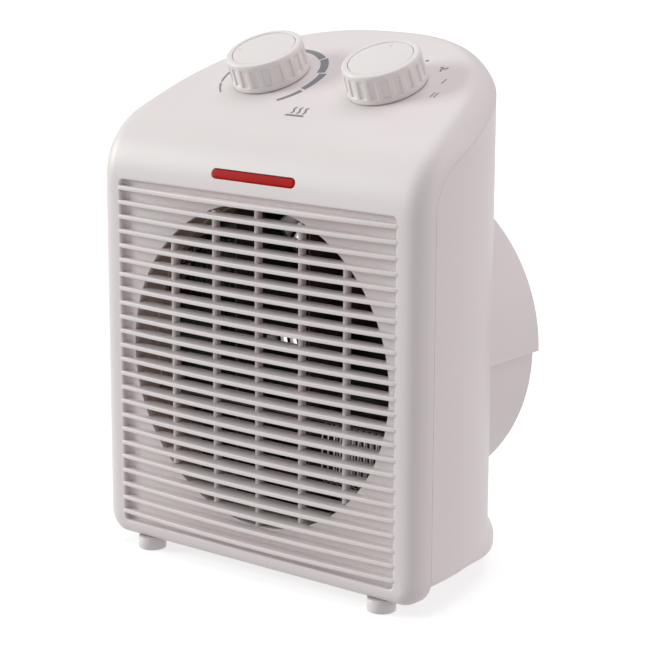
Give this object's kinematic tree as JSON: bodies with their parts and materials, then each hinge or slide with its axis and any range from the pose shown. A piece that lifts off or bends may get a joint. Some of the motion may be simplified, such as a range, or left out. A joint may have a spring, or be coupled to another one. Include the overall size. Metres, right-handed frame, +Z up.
{
  "type": "fan heater",
  "caption": "Small upright fan heater with a louvred front outlet, a sloping control panel with a thermostat dial and a selector dial, and a round rear intake drum.",
  "frame": {"origin": "on the floor under the middle of the overall box", "axes": "+Z up, the louvred front face looks along -Y, +X to the right seen from the front"},
  "size_m": [0.1914, 0.118, 0.2521],
  "materials": {
    "shell": "satin white moulding",
    "knob": "satin white moulding",
    "lens": "translucent red",
    "lamp": "small glow lamp",
    "rubber": "matte",
    "screw": "zinc plated",
    "sheet_steel": "galvanised",
    "mica": "mica board",
    "coil": "resistance wire",
    "phenolic": "matte black",
    "ceramic": "unglazed cream",
    "lamination": "dark steel stampings",
    "winding": "enamelled copper wire",
    "brass": "turned",
    "fan_plastic": "satin black",
    "wire": "silicone sleeve"
  },
  "bodies": {
    "casing": {"front_shell": "shell", "front_grille": "shell", "indicator_lens": "lens", "indicator_lamp": "lamp", "rear_shell": "shell", "intake_grille": "shell", "front_feet": "shell", "rear_feet": "rubber", "cord_gland": "shell", "case_screws": "screw", "air_duct": "sheet_steel", "mica_boards": "mica", "heating_coils": "coil", "element_hoop": "sheet_steel", "thermal_cutout": "phenolic", "thermal_fuse": "screw", "element_terminals": "ceramic", "fan_shroud": "phenolic", "motor_mount": "phenolic", "mount_screws": "screw", "motor_stator": "lamination", "motor_winding": "winding", "front_bracket": "lamination", "rear_bracket": "lamination", "bearings": "brass", "motor_screws": "screw", "control_bracket": "sheet_steel", "bracket_screws": "screw", "thermostat": "ceramic", "thermostat_nut": "brass", "selector_switch": "phenolic", "selector_nut": "brass", "wiring": "wire"},
    "thermostat_dial": {"thermostat_knob": "knob", "thermostat_cap": "knob", "thermostat_spindle": "screw"},
    "selector_dial": {"selector_knob": "knob", "selector_cap": "knob", "selector_spindle": "screw"},
    "fan_rotor": {"fan": "fan_plastic", "fan_nut": "brass", "motor_shaft": "screw", "motor_rotor": "lamination"}
  },
  "joints": [
    {"name": "thermostat_turn", "type": "hinge", "parent": "casing", "child": "thermostat_dial", "pos_m": [-0.0346, -0.0023, 0.23114], "axis": [0, -0.3989, 0.917], "range_deg": [-240, 20]},
    {"name": "selector_turn", "type": "hinge", "parent": "casing", "child": "selector_dial", "pos_m": [0.0346, -0.0023, 0.23114], "axis": [0, -0.3989, 0.917], "range_deg": [-105, 0]},
    {"name": "fan_spin", "type": "hinge", "parent": "casing", "child": "fan_rotor", "pos_m": [0, 0.001, 0.1026], "axis": [0, 1, 0], "continuous": true}
  ]
}
